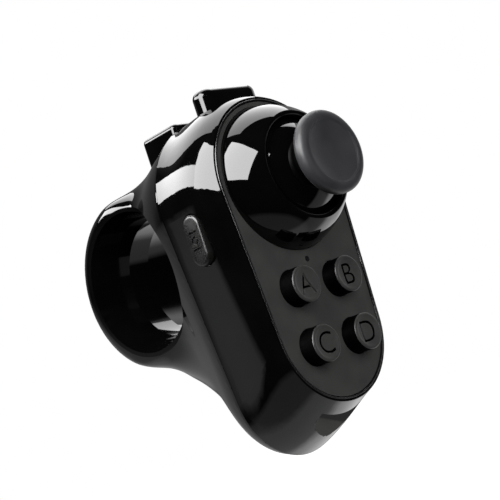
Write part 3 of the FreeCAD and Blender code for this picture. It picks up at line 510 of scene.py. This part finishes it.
def letter_form(text, tall_mm, weight_mm, middle, depth_mm):
    """A letter as a closed solid that stands along Y about a middle point, read from the front."""
    curve = bpy.data.curves.new("letter", "FONT")
    curve.body = text
    curve.align_x = "CENTER"
    curve.align_y = "CENTER"
    curve.size = tall_mm * MM * 1.38
    curve.extrude = depth_mm * MM
    curve.offset = weight_mm * MM
    curve.resolution_u = 6
    maker = bpy.data.objects.new("letter", curve)
    scene.collection.objects.link(maker)
    bpy.context.view_layer.update()
    mesh = bpy.data.meshes.new_from_object(maker.evaluated_get(bpy.context.evaluated_depsgraph_get()))
    bpy.data.objects.remove(maker)
    form = bmesh.new()
    form.from_mesh(mesh)
    bmesh.ops.remove_doubles(form, verts=form.verts, dist=1e-6)
    low_x, high_x = min(v.co.x for v in form.verts), max(v.co.x for v in form.verts)
    low_y, high_y = min(v.co.y for v in form.verts), max(v.co.y for v in form.verts)
    bmesh.ops.translate(form, vec=(-(low_x + high_x) / 2, -(low_y + high_y) / 2, 0.0), verts=form.verts)
    bmesh.ops.rotate(form, cent=(0.0, 0.0, 0.0), matrix=Matrix.Rotation(math.pi / 2, 3, "X"),
                     verts=form.verts)
    bmesh.ops.translate(form, vec=middle, verts=form.verts)
    bmesh.ops.recalc_face_normals(form, faces=form.faces)
    return form


LETTER_TALL_MM = 4.1
LETTER_THINNER_MM = -0.045
LETTER_HALF_DEPTH_MM = 0.62
for letter in "abcd":
    node = "button_" + letter
    low_corner, high_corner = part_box(node)
    cap = merged_copy(node, "key_cap_" + letter, key_satin)
    cap_middle = Vector(((low_corner.x + high_corner.x) / 2, low_corner.y + 0.2 * MM,
                         (low_corner.z + high_corner.z) / 2))
    carve(cap, letter_form(letter.upper(), LETTER_TALL_MM, LETTER_THINNER_MM, cap_middle,
                           LETTER_HALF_DEPTH_MM))
    finish_all(cap, key_satin)
    # The flanks and the letter floors get the near-black finish: painted shade
    cap.data.materials.append(shade_black)
    for polygon in cap.data.polygons:
        on_side = abs(polygon.normal.y) < 0.45 and polygon.center.y > low_corner.y + 0.3 * MM
        in_letter = polygon.normal.y < -0.9 and polygon.center.y > low_corner.y + 0.5 * MM
        polygon.material_index = 1 if on_side or in_letter else 0
    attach(cap, "key_" + letter)
    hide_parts(node)

# The side key carries an engraved ring between two short bars
low_corner, high_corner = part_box("side_key")
FACE_X = low_corner.x
HALF_WIDE = 2.15 * MM
HALF_LONG = 4.65 * MM - HALF_WIDE
key_middle = (low_corner + high_corner) / 2
form = bmesh.new()
before = None
# How far in from the outline, and how far behind the face, for each line of the rounded edge
for inset, depth in ((0.0, 3.3), (0.0, 0.55), (0.05, 0.32), (0.17, 0.14), (0.36, 0.04), (0.6, 0.0)):
    made = bmesh.ops.create_circle(form, segments=96, radius=HALF_WIDE - inset * MM,
                                   matrix=Matrix.Rotation(math.pi / 2, 4, "Y"))["verts"]
    for vert in made:
        stretch = HALF_LONG if vert.co.z > 0 else -HALF_LONG
        vert.co += Vector((FACE_X + depth * MM, key_middle.y, key_middle.z + stretch))
    edges = [edge for edge in form.edges if edge.verts[0] in made and edge.verts[1] in made]
    if before is None:
        bmesh.ops.contextual_create(form, geom=edges)
    else:
        bmesh.ops.bridge_loops(form, edges=before + edges)
    before = edges
bmesh.ops.contextual_create(form, geom=before)
bmesh.ops.recalc_face_normals(form, faces=form.faces)
side_cap = to_piece("side_key_cap", form, trigger_gloss, smooth_deg=50.0)
flange = block(Vector((high_corner.x - 0.4 * MM, low_corner.y, low_corner.z)), high_corner)
BAR_HALF = Vector((0.3, 0.95, 0.16)) * MM
for offset_mm in (-1.5, 1.5):
    bar_middle = Vector((FACE_X, key_middle.y, key_middle.z + offset_mm * MM))
    carve(side_cap, block(bar_middle - BAR_HALF, bar_middle + BAR_HALF))
form = bmesh.new()
upright = Matrix.Translation((FACE_X + 0.22 * MM, key_middle.y, key_middle.z)) @ Matrix.Rotation(
    math.pi / 2, 4, "Y")
for radius_mm in (0.75, 0.45):
    bmesh.ops.create_circle(form, segments=48, radius=radius_mm * MM, matrix=upright)
face_ring = bmesh.ops.bridge_loops(form, edges=form.edges[:])["faces"]
raised = bmesh.ops.extrude_face_region(form, geom=face_ring, use_keep_orig=True)["geom"]
bmesh.ops.translate(form, vec=(-0.5 * MM, 0.0, 0.0),
                    verts=[item for item in raised if isinstance(item, bmesh.types.BMVert)])
bmesh.ops.recalc_face_normals(form, faces=form.faces)
carve(side_cap, form)
form = bmesh.new()
form.from_mesh(side_cap.data)
form.from_mesh(to_piece("flange", flange, trigger_gloss).data)
bpy.data.objects.remove(bpy.data.objects["flange"])
form.to_mesh(side_cap.data)
form.free()
finish_all(side_cap, side_key_gloss)
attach(side_cap, "side_press")
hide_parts("side_key")

# --- floor, light and camera -----------------------------------------------------------------
LENS_MM = 102.98
SENSOR_MM = 36.0
RIGHT = Vector((0.6914, -0.6509, -0.3136))
DOWN = Vector((-0.1446, 0.3007, -0.9427))
AHEAD = RIGHT.cross(-DOWN) * -1.0
camera_data = bpy.data.cameras.new("studio_camera")
camera_data.lens = LENS_MM
camera_data.sensor_width = SENSOR_MM
camera_data.clip_start = 0.01
camera_data.clip_end = 10.0
camera = bpy.data.objects.new("studio_camera", camera_data)
scene.collection.objects.link(camera)
EYE = Vector((-0.18584, -0.20321, -0.03147))
camera.matrix_world = Matrix((
    (RIGHT.x, -DOWN.x, -AHEAD.x, EYE.x),
    (RIGHT.y, -DOWN.y, -AHEAD.y, EYE.y),
    (RIGHT.z, -DOWN.z, -AHEAD.z, EYE.z),
    (0.0, 0.0, 0.0, 1.0)))
scene.camera = camera
scene.view_settings.view_transform = "Standard"

world = bpy.data.worlds.new("studio")
scene.world = world
world.use_nodes = True
world.node_tree.nodes.clear()
bearing = add(world, "ShaderNodeTexCoord").outputs["Generated"]


def glow(direction, start, full):
    """0 to 1 as the studio is looked at more and more along a direction."""
    along = add(world, "ShaderNodeVectorMath", {0: bearing, 1: tuple(direction)}, operation="DOT_PRODUCT")
    return add(world, "ShaderNodeMapRange", {"Value": along.outputs["Value"], "From Min": start,
                                             "From Max": full}).outputs["Result"]


def times(*values):
    """The product of node outputs and numbers."""
    found = values[0]
    for value in values[1:]:
        found = add(world, "ShaderNodeMath", {0: found, 1: value}, operation="MULTIPLY").outputs["Value"]
    return found


def total(*values):
    """The sum of node outputs and numbers."""
    found = values[0]
    for value in values[1:]:
        found = add(world, "ShaderNodeMath", {0: found, 1: value}, operation="ADD").outputs["Value"]
    return found


# The studio: a dark room, a pale table below, a paler wall behind and a bright one behind on the right
table_light = times(glow(DOWN, 0.22, 0.34), glow(AHEAD, -0.12, -0.02), 0.42)
under_light = times(glow(DOWN, 0.74, 0.82), 0.25)
wall_light = times(glow(AHEAD, 0.35, 0.6), 0.16)
right_light = times(glow(AHEAD, 0.4, 0.55), glow(RIGHT, 0.05, 0.35), 1.1)
room = add(world, "ShaderNodeBackground",
           {"Strength": total(table_light, under_light, wall_light, right_light, 0.015)})
seen = add(world, "ShaderNodeBackground", {"Color": (1.0, 1.0, 1.0, 1.0)})
paths = add(world, "ShaderNodeLightPath")
chosen = add(world, "ShaderNodeMixShader", {0: paths.outputs["Is Camera Ray"], 1: room.outputs["Background"],
                                            2: seen.outputs["Background"]})
add(world, "ShaderNodeOutputWorld", {"Surface": chosen.outputs["Shader"]})


def softbox(name, towards, across, along, radiance, distance_mm=500.0):
    """A rectangular lamp that looks at the middle of the object. towards is (right, up, back) as the
    camera has them; across and along are the lowest and highest tangents of the lamp's sides."""
    back = (RIGHT * towards[0] - DOWN * towards[1] - AHEAD * towards[2]).normalized()
    top = (-DOWN - back * -DOWN.dot(back)).normalized()
    side = top.cross(back)
    wide = (across[1] - across[0]) * distance_mm * MM
    high = (along[1] - along[0]) * distance_mm * MM
    lamp = bpy.data.lights.new(name, "AREA")
    lamp.shape = "RECTANGLE"
    lamp.size = wide
    lamp.size_y = high
    lamp.energy = radiance * math.pi * wide * high
    holder = bpy.data.objects.new(name, lamp)
    scene.collection.objects.link(holder)
    spot = (middle + back * distance_mm * MM + side * (across[0] + across[1]) / 2 * distance_mm * MM
            + top * (along[0] + along[1]) / 2 * distance_mm * MM)
    holder.matrix_world = Matrix((
        (side.x, top.x, back.x, spot.x),
        (side.y, top.y, back.y, spot.y),
        (side.z, top.z, back.z, spot.z),
        (0.0, 0.0, 0.0, 1.0)))
    return holder


low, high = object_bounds()
middle = (Vector(low) + Vector(high)) / 2
softbox("key_softbox", (-0.80, 0.42, 0.42), (-0.30, 0.60), (-0.42, 0.45), 13.0)
softbox("key_softbox_wing", (-0.80, 0.42, 0.42), (-1.20, -0.30), (-0.38, 0.0), 11.0)
softbox("top_panel", (-0.3, 0.75, -0.58), (-0.55, 0.6), (-0.5, 0.5), 3.0)
fill = softbox("front_fill", (0.45, 0.35, 0.8), (-0.5, 0.5), (-0.5, 0.5), 11.0)
fill.visible_glossy = False

floor_mesh = bpy.data.meshes.new("floor")
floor_form = bmesh.new()
bmesh.ops.create_grid(floor_form, x_segments=1, y_segments=1, size=3.0,
                      matrix=Matrix.Translation((0.0, 0.0, cad_box[0][2] - 40.0 * MM)))
floor_form.to_mesh(floor_mesh)
floor_form.free()
floor = bpy.data.objects.new("floor", floor_mesh)
scene.collection.objects.link(floor)
floor_paint, shader, place = new_finish("white_paper_sweep", Roughness=0.9)
shader.inputs["Emission Color"].default_value = (1.0, 1.0, 1.0, 1.0)
shader.inputs["Emission Strength"].default_value = 1.0
varied(floor_paint, shader, place, "Base Color", 3.0, "#f6f6f6", "#fbfbfb")
finish_all(floor, floor_paint)
floor.visible_glossy = False
floor.visible_diffuse = False
